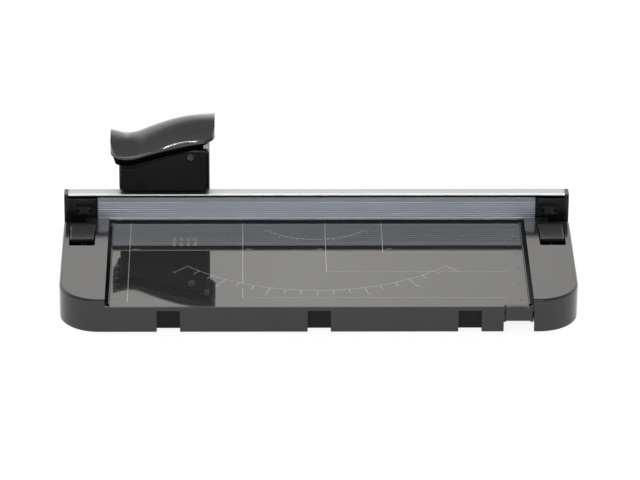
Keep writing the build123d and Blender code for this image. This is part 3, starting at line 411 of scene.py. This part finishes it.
# ---- printed table ---------------------------------------------------------------------------------
class Print:
    """Collects flat printed shapes in one mesh."""

    def __init__(self, name, ink):
        self.name = name
        self.ink = ink
        self.mesh = bmesh.new()

    def ribbon(self, points, width):
        """A closed thin ribbon along a polyline on the table."""
        sides = []
        for index, point in enumerate(points):
            before = points[max(index - 1, 0)]
            after = points[min(index + 1, len(points) - 1)]
            along = (Vector(after) - Vector(before)).normalized()
            across = Vector((-along.y, along.x)) * width / 2
            sides.append((Vector(point) + across, Vector(point) - across))
        rings = []
        for left, right in sides:
            ring = [self.mesh.verts.new((p.x, p.y, PRINT_Z + z)) for p, z in
                    ((left, 0), (right, 0), (right, INK), (left, INK))]
            rings.append(ring)
        for a, b in zip(rings, rings[1:]):
            for i in range(4):
                j = (i + 1) % 4
                self.mesh.faces.new((a[i], a[j], b[j], b[i]))
        self.mesh.faces.new(rings[0][::-1])
        self.mesh.faces.new(rings[-1])

    def dashes(self, start, end, width, dash, gap):
        """A dashed straight line."""
        start, end = Vector(start), Vector(end)
        length = (end - start).length
        along = (end - start) / length
        place = 0.0
        while place + dash <= length:
            self.ribbon([start + along * place, start + along * (place + dash)], width)
            place += dash + gap

    def words(self, text, centre, height, turn=0.0, stretch=1.0):
        """Printed figures, centred on a point and turned about it."""
        curve = bpy.data.curves.new("figures", "FONT")
        curve.body = text
        curve.size = height
        curve.align_x = "CENTER"
        curve.align_y = "CENTER"
        curve.extrude = INK / 2
        curve.resolution_u = 3
        holder = bpy.data.objects.new("figures", curve)
        bpy.context.scene.collection.objects.link(holder)
        mesh = bpy.data.meshes.new_from_object(holder)
        place = Matrix.Translation((*centre, PRINT_Z + INK / 2)) @ Matrix.Rotation(turn, 4, "Z")
        mesh.transform(place @ Matrix.Diagonal((stretch, 1.0, 1.0, 1.0)))
        self.mesh.from_mesh(mesh)
        bpy.data.objects.remove(holder)
        bpy.data.meshes.remove(mesh)
        bpy.data.curves.remove(curve)

    def place(self):
        """Turn the collected shapes into one piece on the base."""
        mesh = bpy.data.meshes.new(self.name)
        bmesh.ops.recalc_face_normals(self.mesh, faces=self.mesh.faces)
        self.mesh.to_mesh(mesh)
        self.mesh.free()
        mesh.materials.append(self.ink)
        piece = bpy.data.objects.new(self.name, mesh)
        bpy.context.scene.collection.objects.link(piece)
        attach(piece, "base")


def paper_lines():
    """The grey lines of the paper sizes, each with a dashed foot, and the two angle arcs."""
    grey = Print("table_lines", ink_grey)
    for label, across, depth in PAPER:
        x = across * MM
        y = CUT_Y - depth * MM
        if label == "A5":
            crossing = CUT_Y - math.sqrt((ARCS[0][0] * MM) ** 2 - (x - ARC_X) ** 2)
            grey.ribbon([(x, PRINT_START_Y), (x, crossing)], LINE)
            grey.ribbon([(x, crossing - 9 * MM), (x, y)], LINE)
        else:
            grey.ribbon([(x, PRINT_START_Y), (x, y)], LINE)
        if label != "A4":
            grey.dashes((x, y), (PRINT_END_X, y), LINE, 1.05 * MM, 0.9 * MM)
        side = -1 if label == "A6" else 1
        grey.words(label, (x + side * 4.6 * MM, CUT_Y - 69.0 * MM), 3.0 * MM, 0.0, 1.3)
    for radius, tick, long_tick, numbered in ARCS:
        angle_arc(grey, radius * MM, tick * MM, long_tick * MM, numbered)
    grey.place()


def angle_arc(grey, radius, tick, long_tick, numbered):
    """One protractor arc, with ticks every five degrees that point away from its centre."""
    def on_arc(degrees, distance):
        angle = math.radians(degrees)
        return Vector((ARC_X + math.sin(angle) * distance, CUT_Y - math.cos(angle) * distance))

    grey.ribbon([on_arc(step, radius) for step in range(-45, 46)], LINE)
    for degrees in range(-45, 46, 5):
        reach = tick
        if degrees % 15 == 0 and degrees != 0:
            reach = long_tick * (0.65 + abs(degrees) / 130)
        grey.ribbon([on_arc(degrees, radius), on_arc(degrees, radius + reach)], LINE)
        if numbered and degrees % 15 == 0:
            middle = on_arc(degrees, radius + reach + 2.2 * MM)
            grey.words(str(abs(degrees)), middle, 3.0 * MM, math.radians(degrees))


def scales():
    """A centimetre scale at the left, an inch scale at the right, and the sizes of the papers."""
    grey = Print("centimetre_scale", ink_faint)
    sideways = Print("paper_sizes", ink_grey)
    for step in range(6, 33):
        y = CUT_Y - step * 5 * MM
        reach = 1.6 if step % 2 == 0 else 0.9
        grey.ribbon([(-155.0 * MM, y), (-155.0 * MM + reach * MM, y)], 0.25 * MM)
        if step % 2 == 0:
            grey.words(str(step // 2), (-151.2 * MM, y + 3.2 * MM), 3.6 * MM)
    # the sheets' sizes in millimetres, printed sideways
    for index, size in enumerate(SHEETS):
        sideways.words(size, ((-108.7 + index * 5.3) * MM, CUT_Y - 57.0 * MM), 3.4 * MM, math.pi / 2)
    grey.place()
    sideways.place()
    dark = Print("inch_scale", ink_dark)
    for step in range(6, 25):
        y = CUT_Y - step * INCH / 4
        reach = 2.4 if step % 4 == 0 else 1.2
        dark.ribbon([(155.0 * MM, y), (155.0 * MM - reach * MM, y)], 0.2 * MM)
        if step % 4 == 0:
            dark.words(str(step // 4), (150.6 * MM, y), 3.8 * MM)
    dark.place()


# ---- stage, light and camera -----------------------------------------------------------------------
def stage_material(name, colour, glow):
    """The floor's matte white, which glows a little so that shadows stay pale."""
    material, tree, shader, place = new_material(name)
    mottle = noise(tree, place, 3.0, 2.0)
    colours = two_colours(tree, mottle, tinted(colour, 0.99), colour)
    tree.links.new(colours, shader.inputs["Base Color"])
    shader.inputs["Roughness"].default_value = 0.9
    shader.inputs["Specular IOR Level"].default_value = 0.0
    shader.inputs["Emission Color"].default_value = (1.0, 1.0, 1.0, 1.0)
    shader.inputs["Emission Strength"].default_value = glow
    return material


def floor():
    """A wide plain floor."""
    mesh = bpy.data.meshes.new("floor")
    corners = [(x * FLOOR_HALF, y * FLOOR_HALF, 0) for x, y in ((-1, -1), (1, -1), (1, 1), (-1, 1))]
    mesh.from_pydata(corners, [], [(0, 1, 2, 3)])
    mesh.materials.append(stage_material("floor_white", (0.30, 0.30, 0.30), FLOOR_GLOW))
    piece = bpy.data.objects.new("floor", mesh)
    bpy.context.scene.collection.objects.link(piece)


def sky():
    """A soft white surround: brightest low behind the object, fading to the sides, dim overhead."""
    world = bpy.data.worlds.new("surround")
    bpy.context.scene.world = world
    world.use_nodes = True
    tree = world.node_tree
    background = tree.nodes["Background"]
    parts = separated(tree, tree.nodes.new("ShaderNodeTexCoord").outputs["Generated"])
    height = spread(tree, parts["Z"], 1.0, 0.0, 0.60, 0.88)
    behind = spread(tree, parts["Y"], 0.0, 1.0, 0.0, 0.45)
    shifted = tree.nodes.new("ShaderNodeMath")
    shifted.operation = "SUBTRACT"
    shifted.inputs[1].default_value = 0.012
    tree.links.new(parts["X"], shifted.inputs[0])
    sideways = tree.nodes.new("ShaderNodeMath")
    sideways.operation = "ABSOLUTE"
    tree.links.new(shifted.outputs[0], sideways.inputs[0])
    centred = spread(tree, sideways.outputs[0], 1.0, 0.55, 0.0, 0.13)
    backdrop = both(tree, both(tree, height, behind), centred)
    in_front = spread(tree, parts["Y"], 1.0, 0.0, -0.85, -0.3)
    low_down = both(tree, spread(tree, parts["Z"], 0.0, 1.0, 0.08, 0.3),
                    spread(tree, parts["Z"], 1.0, 0.0, 0.62, 0.85))
    low_front = both(tree, in_front, low_down)
    strength = combined(tree, "ADD", spread(tree, backdrop, SURROUND, BACKDROP, 0.0, 1.0),
                        spread(tree, low_front, 0.0, FRONT_CHANGE, 0.0, 1.0))
    overhead = spread(tree, parts["Z"], 1.0, OVERHEAD, 0.55, 0.9)
    tree.links.new(both(tree, strength, overhead), background.inputs["Strength"])
    background.inputs["Color"].default_value = (1.0, 0.985, 0.96, 1.0)


def soft_box(name, place, target, width, height, power):
    """A rectangular studio light aimed at a point."""
    light = bpy.data.lights.new(name, "AREA")
    light.shape = "RECTANGLE"
    light.size = width
    light.size_y = height
    light.energy = power
    lamp = bpy.data.objects.new(name, light)
    lamp.location = place
    lamp.rotation_euler = (Vector(target) - Vector(place)).to_track_quat("-Z", "Y").to_euler()
    bpy.context.scene.collection.objects.link(lamp)


def camera():
    """A long lens, a little left of the middle and above the table."""
    lens = bpy.data.cameras.new("camera")
    lens.sensor_width = 36.0
    lens.lens = CAMERA_LENS
    lens.clip_start = 0.1
    lens.clip_end = 100.0
    eye = bpy.data.objects.new("camera", lens)
    eye.location = CAMERA_PLACE
    eye.rotation_euler = tuple(math.radians(angle) for angle in CAMERA_TURN)
    bpy.context.scene.collection.objects.link(eye)
    bpy.context.scene.camera = eye


dress_nodes()
paper_lines()
scales()
floor()
sky()
soft_box("front_light", (-0.3, -2.6, 1.9), (0, 0, 0), 2.4, 0.05, 26.0)
camera()
bpy.context.scene.view_settings.view_transform = "Standard"
